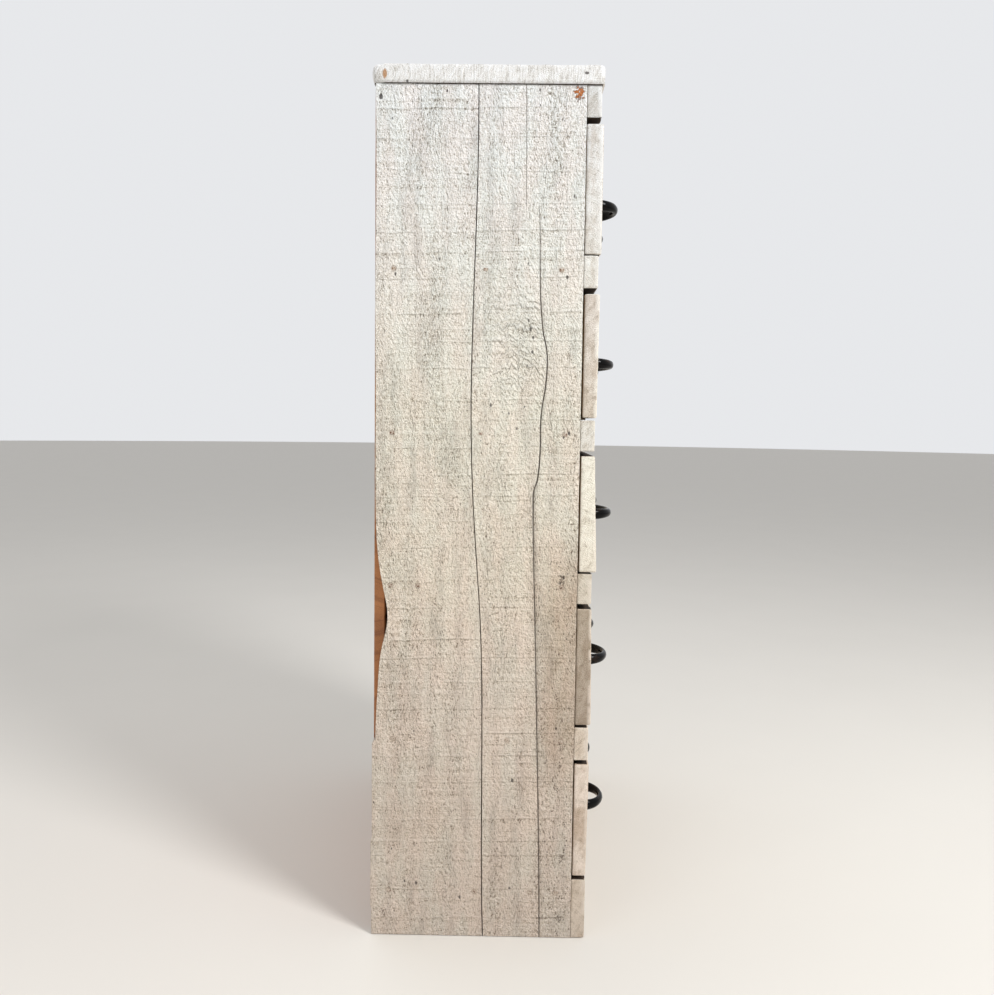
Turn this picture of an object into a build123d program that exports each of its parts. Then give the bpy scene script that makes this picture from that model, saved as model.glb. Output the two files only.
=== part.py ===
from build123d import *
import math
import os

# Seed storage cabinet: a tall, narrow bank of small drawers in rough-sawn painted boards.
# Millimetres, +Z up.  The front faces -Y and the width runs along X.  The model is drawn with the front
# edges of its side boards at Y = 0 and its middle at X = 0, and is moved at the end so that its origin is
# the middle of its footprint, on the floor.  Rows count from the top, columns from the left (-X).

# ---- the bank of drawers, seen from the front ----
COLUMNS = 3
FRONT_WIDTH = 228.0
FRONT_GAP = 3.0  # between two fronts in one row

# One entry for each row of drawers, from the top row down.
OPENING_HEIGHTS = [193.7, 191.0, 181.4, 188.1, 187.1]
GAPS_UNDER_FRONT = [1.0, 2.9, 1.2, 3.1, 4.7]
GAPS_OVER_FRONT = [7.8, 7.3, 6.0, 6.6, 5.4]
FRONT_TOP_THICKNESS = [24.5, 22.0, 20.5, 21.5, 22.0]
FRONT_FOOT_THICKNESS = [24.5, 21.0, 26.0, 24.0, 20.0]
AJAR = [0.6, 2.5, 2.0, 0.6, 1.5]  # how far the fronts of the first column stand off the carcass
AJAR_ELSEWHERE = 0.6

# ---- carcass ----
TOP_RAIL_HEIGHT = 45.3
MIDDLE_RAIL_HEIGHTS = [47.3, 46.4, 47.0, 51.2]
BOTTOM_RAIL_HEIGHT = 93.5
RAIL_THICKNESS = 21.5
SIDE_DEPTH = 307.0
SIDE_THICKNESS = 22.0
SIDE_JOINT_GAP = 0.8  # between the two boards of a side
PARTITION_THICKNESS = 18.0
BACK_THICKNESS = 16.0
BACK_BOARD_WIDTH = 244.5
BACK_BOARD_GAP = 1.0
BEARER_WIDTH = 20.0
BEARER_HEIGHT = 44.0
TOP_THICKNESS = 28.0
TOP_FRONT_OVERHANG = 3.5
TOP_REAR_OVERHANG = 2.5
TOP_END_OVERHANG = 3.0
TOP_ARRIS = 6.0
RAIL_ARRIS = 2.0
FRONT_ARRIS = 3.0
FRONT_TOP_FALL = 2.0  # the top edge of a front slopes down towards its back

# ---- drawer box ----
DRAWER_TRAVEL = 240.0
BOX_WALL = 10.0
BOX_BOTTOM = 6.0
BOX_BOTTOM_LIFT = 8.0
BOX_SIDE_CLEARANCE = 1.5
BOX_TOP_CLEARANCE = 14.0
BOX_REAR_CLEARANCE = 6.0
RUNNING_CLEARANCE = 0.3
FRONT_HOUSING = 6.0  # depth of the grooves in the back of a front
BOX_HOUSING = 4.0  # depth of the grooves in the box's own walls
BACK_INSET = 10.0  # the sides run on past the back by this much
BACK_DROP = 6.0  # the back is lower than the sides by this much

# ---- bow pull ----
PULL_LENGTH = 90.0
PULL_REACH = 34.0
PULL_BAR_THICKNESS = 9.0
PULL_FOOT_THICKNESS = 12.0
PULL_BAR_HEIGHT = 13.0
PULL_FOOT_HEIGHT = 17.0
PULL_CHAMFER = 2.6
PULL_SECTIONS = 9
PULL_DROP = 6.0  # below the middle of the front
SCREW_RADIUS = 2.0
SCREW_HEAD_RADIUS = 4.0
SCREW_HEAD_THICKNESS = 2.4
SCREW_GRIP = 9.0  # how far the screw reaches into the pull's foot
SCREW_SIDES = 6

# ---- cut nails ----
NAIL_LENGTH = 40.0
NAIL_WIDTH = 3.4
NAIL_BREADTH = 2.4
NAIL_HEAD_WIDTH = 6.0
NAIL_HEAD_BREADTH = 4.0
NAIL_HEAD_THICKNESS = 1.4
# Where the nails lie along the bearers under each row of drawers, as shares of a bearer's length.
NAIL_SHARES = [
    (0.11, 0.49, 0.95), (0.08, 0.505, 0.955), (0.08, 0.82, 0.96), (0.07, 0.35, 0.945),
    (0.085, 0.22, 0.51, 0.965),
]
RAIL_NAIL_STAGGER = 9.0  # above and below a rail's middle, turn about

# ---- worn plank edges ----
WANE_STEP = 3.0  # the wavy part of a rear edge ends in a step as tall as this

ROWS = len(OPENING_HEIGHTS)
WIDTH = COLUMNS * FRONT_WIDTH + (COLUMNS - 1) * FRONT_GAP
FRONT_PITCH = FRONT_WIDTH + FRONT_GAP
CARCASS_HEIGHT = BOTTOM_RAIL_HEIGHT + sum(OPENING_HEIGHTS) + sum(MIDDLE_RAIL_HEIGHTS) + TOP_RAIL_HEIGHT
SIDE_INNER = WIDTH / 2 - SIDE_THICKNESS
BACK_FACE = SIDE_DEPTH - BACK_THICKNESS  # inner face of the back boards
BOX_LENGTH = BACK_FACE - BOX_REAR_CLEARANCE

# The wavy part of a side's rear edge, as (distance below the top, distance inside the full depth).
LEFT_REAR_EDGE = [
    (0.0, 3.0), (142.0, 4.5), (312.0, 3.5), (472.0, 4.5), (622.0, 5.0), (687.0, 9.0),
    (732.0, 16.5), (778.0, 23.0), (822.0, 14.5), (867.0, 9.5), (920.0, 6.5), (966.0, 5.0),
]
RIGHT_REAR_EDGE = [
    (0.0, 2.5), (182.0, 6.0), (372.0, 13.0), (482.0, 8.0), (632.0, 3.5), (792.0, 5.0), (966.0, 3.0),
]
# The butt below it, as (height, distance beyond the full depth).
LEFT_BUTT = [(153.0, 0.0), (149.0, 2.0), (47.0, 2.0), (41.0, 0.5), (0.0, 0.5)]
RIGHT_BUTT = [(0.0, 0.0)]
# The joint between the two boards of a side, as (distance below the top, distance from the rear).
LEFT_SIDE_JOINT = [
    (0.0, 151.0), (272.0, 147.6), (507.0, 145.5), (656.0, 153.0), (778.0, 162.0), (972.0, 167.0),
    (CARCASS_HEIGHT, 171.5),
]
RIGHT_SIDE_JOINT = [
    (0.0, 139.0), (232.0, 146.0), (442.0, 150.0), (672.0, 158.0), (892.0, 150.0), (1102.0, 146.0),
    (CARCASS_HEIGHT, 149.0),
]


def block(x, y, z):
    """A plain board between two values on each axis."""
    size = [span[1] - span[0] for span in (x, y, z)]
    return Pos(x[0], y[0], z[0]) * Box(*size, align=(Align.MIN,) * 3)


def rail_spans():
    """The low and high edge of every rail, from the top rail down to the bottom rail."""
    heights = [TOP_RAIL_HEIGHT] + MIDDLE_RAIL_HEIGHTS + [BOTTOM_RAIL_HEIGHT]
    spans, high = [], CARCASS_HEIGHT
    for height, opening in zip(heights, OPENING_HEIGHTS + [0.0]):
        spans.append((high - height, high))
        high -= height + opening
    return spans


RAILS = rail_spans()


def partition_centres():
    """A partition stands behind each gap between two fronts."""
    first = -WIDTH / 2 + FRONT_WIDTH + FRONT_GAP / 2
    return [first + k * FRONT_PITCH for k in range(COLUMNS - 1)]


def bay(column):
    """The clear width of one column of drawers, between its two uprights."""
    uprights = partition_centres()
    low = -SIDE_INNER if column == 0 else uprights[column - 1] + PARTITION_THICKNESS / 2
    high = SIDE_INNER if column == COLUMNS - 1 else uprights[column] - PARTITION_THICKNESS / 2
    return low, high


# ---- carcass boards ----
def edge_curve(points, shift=0.0):
    """A smooth edge through (distance below the top, distance from the rear) points."""
    return Spline([(SIDE_DEPTH - inset + shift, CARCASS_HEIGHT - fall) for fall, inset in points])


def side_boards(rear_edge, butt, joint, low_x):
    """The rear and front board of one side, whose lower face in X is at low_x."""
    wavy = edge_curve(rear_edge)
    step = (SIDE_DEPTH, (wavy @ 1).Y - WANE_STEP)
    straight = Polyline(wavy @ 1, step, *[(SIDE_DEPTH + proud, height) for height, proud in butt])
    rear_joint, front_joint = edge_curve(joint), edge_curve(joint, -SIDE_JOINT_GAP)
    ends = [Line(straight @ 1, rear_joint @ 1), Line(rear_joint @ 0, wavy @ 0)]
    nose = Polyline(front_joint @ 0, (0.0, CARCASS_HEIGHT), (0.0, 0.0), front_joint @ 1)
    outlines = [[wavy, straight, rear_joint, *ends], [front_joint, nose]]
    faces = [Plane.YZ * make_face(outline) for outline in outlines]
    return [Pos(low_x, 0, 0) * extrude(face, SIDE_THICKNESS, dir=(1, 0, 0)) for face in faces]


def rail(span):
    board = block((-WIDTH / 2, WIDTH / 2), (-RAIL_THICKNESS, 0.0), span)
    return fillet(board.edges().filter_by(Axis.X).sort_by(Axis.Y)[:2], RAIL_ARRIS)


def top_board():
    x = (-WIDTH / 2 - TOP_END_OVERHANG, WIDTH / 2 + TOP_END_OVERHANG)
    y = (-RAIL_THICKNESS - TOP_FRONT_OVERHANG, SIDE_DEPTH + TOP_REAR_OVERHANG)
    board = block(x, y, (CARCASS_HEIGHT, CARCASS_HEIGHT + TOP_THICKNESS))
    long_edges = board.edges().filter_by(Axis.X)
    board = fillet(long_edges.group_by(Axis.Z)[-1], TOP_ARRIS)
    return fillet(board.edges().filter_by(Axis.X).group_by(Axis.Z)[0], RAIL_ARRIS)


def partitions():
    half = PARTITION_THICKNESS / 2
    spans = [(x - half, x + half) for x in partition_centres()]
    return [block(span, (0.0, BACK_FACE), (0.0, CARCASS_HEIGHT)) for span in spans]


def bearers():
    """Battens on the uprights, level with the top of the rail in front, that the drawers run on."""
    battens = []
    for _, top in RAILS[1:]:
        for column in range(COLUMNS):
            low, high = bay(column)
            for x in ((low, low + BEARER_WIDTH), (high - BEARER_WIDTH, high)):
                battens.append(block(x, (0.0, BACK_FACE), (top - BEARER_HEIGHT, top)))
    return battens


def back_boards():
    boards, low = [], 0.0
    while low < CARCASS_HEIGHT:
        high = min(low + BACK_BOARD_WIDTH, CARCASS_HEIGHT)
        boards.append(block((-SIDE_INNER, SIDE_INNER), (BACK_FACE, SIDE_DEPTH), (low, high)))
        low = high + BACK_BOARD_GAP
    return boards


# ---- nails ----
def nail(head, direction, across):
    """One cut nail: its head lies flush with the face at the point head, and it goes along direction."""
    plane = Plane(origin=head, z_dir=direction, x_dir=across)
    up = (Align.CENTER, Align.CENTER, Align.MIN)
    shank = Box(NAIL_WIDTH, NAIL_BREADTH, NAIL_LENGTH, align=up)
    cap = Box(NAIL_HEAD_WIDTH, NAIL_HEAD_BREADTH, NAIL_HEAD_THICKNESS, align=up)
    return plane * (shank + cap)


def side_nails():
    """A row of nails through each side into every bearer on it."""
    nails = []
    for (_, top), shares in zip(RAILS[1:], NAIL_SHARES):
        for share in shares:
            for side in (-1, 1):
                head = (side * WIDTH / 2, share * BACK_FACE, top - BEARER_HEIGHT / 2)
                nails.append(nail(head, (-side, 0, 0), (0, 1, 0)))
    return nails


def rail_nails():
    """One nail through each rail into the front edge of each upright, staggered up and down."""
    end = WIDTH / 2 - SIDE_THICKNESS / 2
    nails = []
    for low, high in RAILS:
        for n, x in enumerate([-end, *partition_centres(), end]):
            height = (low + high) / 2 + RAIL_NAIL_STAGGER * (-1) ** n
            nails.append(nail((x, -RAIL_THICKNESS, height), (0, 1, 0), (1, 0, 0)))
    return nails


# ---- bow pull ----
def bow():
    """An iron bow, half an ellipse in plan: its section grows from the middle to its two feet."""
    outer = (PULL_LENGTH / 2, PULL_REACH)
    inner = (outer[0] - PULL_FOOT_THICKNESS, outer[1] - PULL_BAR_THICKNESS)
    sections = []
    for n in range(PULL_SECTIONS):
        turn = math.pi * n / (PULL_SECTIONS - 1)
        along, out = math.cos(turn), math.sin(turn)
        far = Vector(-outer[0] * along, -outer[1] * out, 0)
        near = Vector(-inner[0] * along, -inner[1] * out, 0)
        height = PULL_BAR_HEIGHT + (PULL_FOOT_HEIGHT - PULL_BAR_HEIGHT) * along**2
        section = Rectangle((far - near).length, height)
        section = chamfer(section.vertices(), PULL_CHAMFER)
        middle = (far + near) / 2
        plane = Plane(origin=middle, x_dir=far - near, z_dir=(far - near).cross(Vector(0, 0, 1)))
        sections.append(plane * section)
    spare = Pos(0, FRONT_ARRIS + PULL_CHAMFER, 0)  # behind the face, for the front to cut off
    return loft([spare * sections[0], *sections, spare * sections[-1]], ruled=True)


def meets(a, b):
    """Whether the boxes around two solids overlap."""
    a, b = a.bounding_box(), b.bounding_box()
    spans = zip(a.min, a.max, b.min, b.max)
    return all(a_low < b_high and b_low < a_high for a_low, a_high, b_low, b_high in spans)


def nailed(board, nails):
    """A board with the nails' own places cut out of it."""
    through = [nail for nail in nails if meets(nail, board)]
    return board - through if through else board


# ---- drawers ----
class Drawer:
    """One drawer: where it is, and the sizes that its pieces share."""

    def __init__(self, row, column):
        self.row, self.column = row, column
        self.name = f"row_{row + 1}_column_{column + 1}"
        self.ajar = AJAR[row] if column == 0 else AJAR_ELSEWHERE
        self.floor = RAILS[row + 1][1]
        self.front_low = self.floor + GAPS_UNDER_FRONT[row]
        self.front_high = self.floor + OPENING_HEIGHTS[row] - GAPS_OVER_FRONT[row]
        self.front_left = -WIDTH / 2 + column * FRONT_PITCH
        low, high = bay(column)
        self.box_left, self.box_right = low + BOX_SIDE_CLEARANCE, high - BOX_SIDE_CLEARANCE
        self.box_low = self.floor + RUNNING_CLEARANCE
        self.box_high = self.floor + OPENING_HEIGHTS[row] - BOX_TOP_CLEARANCE
        self.pull_centre = self.front_left + FRONT_WIDTH / 2
        self.pull_height = (self.front_low + self.front_high) / 2 - PULL_DROP
        self.bottom_low = self.box_low + BOX_BOTTOM_LIFT
        self.back = -self.ajar  # back face of the front
        self.rear = BOX_LENGTH - self.ajar

    def face_at(self, height):
        """Y of the front's face at a height: some fronts were sawn thicker at the top or the foot."""
        share = (height - self.front_low) / (self.front_high - self.front_low)
        top, foot = FRONT_TOP_THICKNESS[self.row], FRONT_FOOT_THICKNESS[self.row]
        return self.back - foot - (top - foot) * share

    def across(self, outline):
        """A solid as wide as the front, with an outline drawn in its (Y, Z)."""
        board = extrude(Plane.YZ * make_face(outline), FRONT_WIDTH, dir=(1, 0, 0))
        return Pos(self.front_left, 0, 0) * board

    def bottom_panel(self):
        x = (self.box_left + BOX_WALL - BOX_HOUSING, self.box_right - BOX_WALL + BOX_HOUSING)
        y = (self.back - FRONT_HOUSING, self.rear)
        return block(x, y, (self.bottom_low, self.bottom_low + BOX_BOTTOM))

    def back_wall(self):
        x = (self.box_left + BOX_WALL - BOX_HOUSING, self.box_right - BOX_WALL + BOX_HOUSING)
        y = (self.rear - BACK_INSET - BOX_WALL, self.rear - BACK_INSET)
        return block(x, y, (self.bottom_low + BOX_BOTTOM, self.box_high - BACK_DROP))

    def side_walls(self):
        grooves = [self.bottom_panel(), self.back_wall()]
        walls = []
        for left in (self.box_left, self.box_right - BOX_WALL):
            span = (self.back - FRONT_HOUSING, self.rear)
            wall = block((left, left + BOX_WALL), span, (self.box_low, self.box_high))
            walls.append(wall - grooves)
        return walls

    def front(self):
        top, foot = (self.face_at(z) for z in (self.front_high, self.front_low))
        outline = Polyline(
            (self.back, self.front_low), (foot, self.front_low), (top, self.front_high),
            (self.back, self.front_high - FRONT_TOP_FALL), close=True,
        )
        board = self.across(outline)
        board = fillet(board.edges().filter_by(Axis.X).sort_by(Axis.Y)[:2], FRONT_ARRIS)
        holes = [self.shank(x) for x in self.screw_places()]
        return board - self.side_walls() - self.bottom_panel() - holes

    def screw_places(self):
        reach = (PULL_LENGTH - PULL_FOOT_THICKNESS) / 2
        return [self.pull_centre - reach, self.pull_centre + reach]

    def along_screw(self, x):
        """A plane behind the front, looking out along one screw."""
        return Plane(origin=(x, self.back, self.pull_height), z_dir=(0, -1, 0))

    def screw_length(self):
        return self.back - self.face_at(self.pull_height) + SCREW_GRIP

    def shank(self, x):
        return self.along_screw(x) * extrude(RegularPolygon(SCREW_RADIUS, SCREW_SIDES), self.screw_length())

    def screw(self, x):
        head = extrude(RegularPolygon(SCREW_HEAD_RADIUS, SCREW_SIDES), -SCREW_HEAD_THICKNESS)
        return self.shank(x) + self.along_screw(x) * head

    def pull(self):
        """The bow, seated on the front's face, with a blind hole for a screw in each foot."""
        place = Pos(self.pull_centre, self.face_at(self.pull_height), self.pull_height)
        holes = [self.shank(x) for x in self.screw_places()]
        return place * bow() - self.front_blank() - holes

    def front_blank(self):
        """Everything behind the plane of the front's face, which the pull's feet are cut back to."""
        top, foot = (self.face_at(z) for z in (self.front_high, self.front_low))
        outline = Polyline(
            (self.rear, self.front_low), (foot, self.front_low), (top, self.front_high),
            (self.rear, self.front_high), close=True,
        )
        return self.across(outline)

    def nodes(self):
        screws = [self.screw(x) for x in self.screw_places()]
        return {
            f"drawer_front_{self.name}": [self.front()],
            f"drawer_box_{self.name}": [*self.side_walls(), self.back_wall(), self.bottom_panel()],
            f"pull_{self.name}": [self.pull(), *screws],
        }


def carcass_nodes():
    half = WIDTH / 2
    nails = side_nails() + rail_nails()
    left_rear, left_front = side_boards(LEFT_REAR_EDGE, LEFT_BUTT, LEFT_SIDE_JOINT, -half)
    right_rear, right_front = side_boards(RIGHT_REAR_EDGE, RIGHT_BUTT, RIGHT_SIDE_JOINT, SIDE_INNER)
    rails = [rail(span) for span in RAILS]
    names = ["top_rail"] + [f"rail_under_row_{n + 1}" for n in range(ROWS - 1)] + ["bottom_rail"]
    nodes = {
        "left_side_rear_board": [left_rear],
        "left_side_front_board": [left_front],
        "right_side_rear_board": [right_rear],
        "right_side_front_board": [right_front],
        "partitions": partitions(),
        "drawer_bearers": bearers(),
        **{name: [board] for name, board in zip(names, rails)},
    }
    drilled = {name: [nailed(solid, nails) for solid in solids] for name, solids in nodes.items()}
    return {**drilled, "top_board": [top_board()], "back_boards": back_boards(), "nails": nails}


def build():
    """Every node as one compound of its solids, with the origin at the middle of the footprint."""
    nodes = carcass_nodes()
    for row in range(ROWS):
        for column in range(COLUMNS):
            nodes.update(Drawer(row, column).nodes())
    loose = {name: [solid for part in parts for solid in part.solids()] for name, parts in nodes.items()}
    box = Compound([solid for solids in loose.values() for solid in solids]).bounding_box()
    home = Pos(-box.center().X, -box.center().Y, -box.min.Z)
    return {name: Compound([home * solid for solid in solids]) for name, solids in loose.items()}


if __name__ == "__main__":
    os.makedirs("parts", exist_ok=True)
    for name, solids in build().items():
        export_step(solids, f"parts/{name}.step")
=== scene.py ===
"""The looks of the seed storage cabinet: worn paint on rough-sawn boards, iron bow pulls, bare wood inside."""

import math

import bmesh
import bpy
from mathutils import Matrix, Vector, noise
from mathutils.bvhtree import BVHTree


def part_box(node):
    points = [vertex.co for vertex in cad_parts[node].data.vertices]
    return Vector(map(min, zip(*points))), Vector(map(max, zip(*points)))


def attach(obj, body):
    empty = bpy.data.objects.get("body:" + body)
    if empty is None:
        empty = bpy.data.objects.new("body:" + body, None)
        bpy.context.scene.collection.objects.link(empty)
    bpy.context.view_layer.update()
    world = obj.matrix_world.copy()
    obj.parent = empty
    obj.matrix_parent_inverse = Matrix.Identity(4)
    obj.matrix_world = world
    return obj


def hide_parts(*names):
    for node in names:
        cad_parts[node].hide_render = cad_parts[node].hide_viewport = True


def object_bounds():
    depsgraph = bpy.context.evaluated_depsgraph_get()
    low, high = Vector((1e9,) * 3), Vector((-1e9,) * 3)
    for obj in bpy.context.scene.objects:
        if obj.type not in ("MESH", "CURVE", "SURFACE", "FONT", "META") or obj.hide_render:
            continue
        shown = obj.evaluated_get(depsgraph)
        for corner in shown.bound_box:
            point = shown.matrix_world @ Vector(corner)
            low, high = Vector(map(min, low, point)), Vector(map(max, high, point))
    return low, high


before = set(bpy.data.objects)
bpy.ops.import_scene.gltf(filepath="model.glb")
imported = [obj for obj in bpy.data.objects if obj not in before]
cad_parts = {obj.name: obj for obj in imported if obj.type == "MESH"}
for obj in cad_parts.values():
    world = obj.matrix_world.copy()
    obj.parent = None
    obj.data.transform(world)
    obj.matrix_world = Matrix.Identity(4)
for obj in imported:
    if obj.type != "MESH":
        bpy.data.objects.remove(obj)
cad_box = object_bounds()

MM = 0.001
CARCASS = "carcass"
FRONT_NAME = "drawer_front_"
DRAWERS = sorted(name.removeprefix(FRONT_NAME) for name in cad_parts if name.startswith(FRONT_NAME))
RAILS = ["top_rail", *[f"rail_under_row_{n}" for n in range(1, 5)], "bottom_rail"]

# Which of x, y, z (0, 1, 2) runs along the grain, across the board and into it.
STANDING = (2, 1, 0)
LYING = (0, 2, 1)
FLAT = (0, 1, 2)
GOING_BACK = (1, 2, 0)

# How finely a board's faces are cut, in metres.
FINE = 3 * MM
COARSE = 5 * MM
ARRIS_ROWS = 2
# How far the faces dip below true: over a hand's breadth, from one saw stroke to the next, and in the grain.
FACE_DIPS = 0.5 * MM
SAW_RIDGES = 0.25 * MM
GRAIN_DIPS = 0.12 * MM
# Shares of the full arris: the least that any board keeps, and the most above and below on the top board.
LEAST_ARRIS = 0.2
FRONT_ARRIS = 0.5
SHARP_ARRIS = 0.12
# Over this run the top board's arris grows to that of its rounded rear end.
ROUNDING_RUN = 12 * MM
# How squarely a face has to look along an axis to count as flat, bare, an edge in painted shade or an end.
FLAT_FROM, BARE_FROM, SHADED_FROM, END_FROM = 0.999, 0.9, 0.96, 0.7


# ---------------------------------------------------------------------------------------------- materials
def tone(red, green, blue):
    """A colour that is given as it looks on a screen, from 0 to 255."""
    shares = [part / 255 for part in (red, green, blue)]
    return (*[s / 12.92 if s <= 0.04045 else ((s + 0.055) / 1.055) ** 2.4 for s in shares], 1.0)


class Value:
    """One number or vector of a material, so that sums on it add the nodes."""

    def __init__(self, finish, socket):
        self.finish, self.socket = finish, socket

    def __add__(self, other):
        return self.finish.maths("ADD", self, other)

    def __sub__(self, other):
        return self.finish.maths("SUBTRACT", self, other)

    def __rsub__(self, other):
        return self.finish.maths("SUBTRACT", other, self)

    def __mul__(self, other):
        return self.finish.maths("MULTIPLY", self, other)

    def __truediv__(self, other):
        return self.finish.maths("DIVIDE", self, other)

    def __pow__(self, other):
        return self.finish.maths("POWER", self, other)

    __radd__ = __add__
    __rmul__ = __mul__


class Finish:
    """A material, and the few calls that its recipe is written in."""

    def __init__(self, name, **constants):
        self.material = bpy.data.materials.new(name)
        self.material.use_nodes = True
        self.tree = self.material.node_tree
        self.shader = self.tree.nodes["Principled BSDF"]
        for socket, value in constants.items():
            self.shader.inputs[socket.replace("_", " ")].default_value = value

    def put(self, socket, value):
        if isinstance(value, Value):
            self.tree.links.new(value.socket, socket)
        else:
            socket.default_value = value

    def node(self, kind, settings, inputs, output=0):
        """A node: its settings first, then the values or links of its sockets."""
        made = self.tree.nodes.new(kind)
        for key, value in settings.items():
            setattr(made, key, value)
        for key, value in inputs.items():
            self.put(made.inputs[key], value)
        return Value(self, made.outputs[output])

    def maths(self, operation, a, b):
        return self.node("ShaderNodeMath", {"operation": operation}, {0: a, 1: b})

    def size(self, value):
        """A number without its sign."""
        return self.maths("ABSOLUTE", value, 0.0)

    def most(self, *values):
        largest = values[0]
        for value in values[1:]:
            largest = self.maths("MAXIMUM", largest, value)
        return largest

    def step(self, value, low, high):
        """0 below low, 1 above high, and a smooth rise between."""
        ends = {"Value": value, "From Min": low, "From Max": high}
        return self.node("ShaderNodeMapRange", {"interpolation_type": "SMOOTHSTEP"}, ends)

    def dip(self, value, low, high):
        """1 below low and 0 above high."""
        return 1 - self.step(value, low, high)

    def place(self):
        """x, y and z in the object's own frame, in millimetres."""
        spot = self.node("ShaderNodeTexCoord", {}, {}, 3)
        axes = [self.node("ShaderNodeSeparateXYZ", {}, {0: spot}, axis) for axis in range(3)]
        return [axis / MM for axis in axes]

    def point(self, x, y, z):
        return self.node("ShaderNodeCombineXYZ", {}, {0: x, 1: y, 2: z})

    def noise(self, x, y, z, detail=2.0, rough=0.5):
        """Soft noise from 0 to 1, one cell to each unit of x, y and z."""
        inputs = {"Vector": self.point(x, y, z), "Scale": 1.0, "Detail": detail, "Roughness": rough}
        return self.node("ShaderNodeTexNoise", {}, inputs)

    def specks(self, x, y, z):
        """The distance to the nearest of many scattered points, one to each cell."""
        inputs = {"Vector": self.point(x, y, z), "Scale": 1.0}
        return self.node("ShaderNodeTexVoronoi", {}, inputs)

    def strokes(self, along, spacing, width):
        """Lines across a direction at uneven distances: 1 on a line, 0 off it."""
        settings = {"voronoi_dimensions": "1D", "feature": "DISTANCE_TO_EDGE"}
        gap = self.node("ShaderNodeTexVoronoi", settings, {"W": along / spacing, "Scale": 1.0})
        return self.dip(gap * spacing, 0.25 * width, width)

    def ramp(self, value, stops):
        """A colour for each share: stops are (share, colour)."""
        made = self.tree.nodes.new("ShaderNodeValToRGB")
        while len(made.color_ramp.elements) < len(stops):
            made.color_ramp.elements.new(1.0)
        for element, (share, colour) in zip(made.color_ramp.elements, stops):
            element.position = share
            element.color = colour
        self.put(made.inputs[0], value)
        return Value(self, made.outputs[0])

    def course(self, value, points):
        """A smooth curve through (value, result) points, both from 0 to 1."""
        made = self.tree.nodes.new("ShaderNodeFloatCurve")
        curve = made.mapping.curves[0]
        while len(curve.points) < len(points):
            curve.points.new(0.5, 0.5)
        for spot, place in zip(curve.points, sorted(points)):
            spot.location = place
        made.mapping.update()
        self.put(made.inputs["Value"], value)
        return Value(self, made.outputs[0])

    def mix(self, share, a, b, way="MIX"):
        settings = {"data_type": "RGBA", "blend_type": way}
        return self.node("ShaderNodeMix", settings, {0: share, 6: a, 7: b}, 2)

    def relief(self, height):
        """A bump from a height in millimetres."""
        return self.node("ShaderNodeBump", {}, {"Height": height, "Distance": MM, "Strength": 1.0})

    def done(self, **results):
        for socket, value in results.items():
            self.put(self.shader.inputs[socket.replace("_", " ")], value)
        return self.material


# Painted wood is paler near the top and darker and warmer below: partly grime, partly painted shade and painted
# warm light thrown up by the floor: (share of the height, tone).
PAINT_BY_HEIGHT = [
    (0.0, tone(219, 205, 191)), (0.12, tone(223, 209, 194)), (0.3, tone(233, 219, 204)),
    (0.42, tone(242, 230, 213)), (0.62, tone(246, 240, 226)), (0.85, tone(249, 248, 244)),
    (1.0, tone(249, 250, 251)),
]
HEIGHT = (cad_box[1].z - cad_box[0].z) / MM
WHITE = (255, 255, 255)
# The paint's own darkening, from a bare pit to a full coat.
PAINT_SHADES = [
    (0.0, tone(112, 102, 92)), (0.2, tone(172, 164, 154)), (0.36, tone(210, 205, 198)),
    (0.5, tone(232, 229, 224)), (0.66, tone(246, 244, 241)), (0.88, tone(255, 255, 255)),
]


def from_pith(across, deep, pith, waver):
    """The distance from a board's pith, which its growth rings follow on the face and on the end alike."""
    return ((across - pith[0]) ** 2 + (deep - pith[1]) ** 2) ** 0.5 + waver


def painted(f, height, level, tint):
    """The paint's colour at a height, darkened by how thinly it lies."""
    paint = f.ramp(height / HEIGHT, PAINT_BY_HEIGHT)
    paint = f.mix(1.0, paint, tone(*tint), "MULTIPLY")
    return f.mix(1.0, paint, f.ramp(level, PAINT_SHADES), "MULTIPLY")


def sawn_arches(f, along, across, heart, seed):
    """Wavy lines where the saw ran along the heart of the log, and how plainly they show."""
    beside, from_heart = across - heart[0], f.size(along - heart[1])
    sway = f.noise(along / 60, across / 13, seed, 2.0) * 34
    arched = f.noise((along + beside ** 2 * 0.006 + sway) / 6.0, across / 120, seed, 1.0, 0.5)
    arching = f.dip(f.size(beside), 26.0, 56.0) * f.dip(from_heart, 40.0, 110.0)
    return (arched - 0.5) * arching, arching


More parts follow.
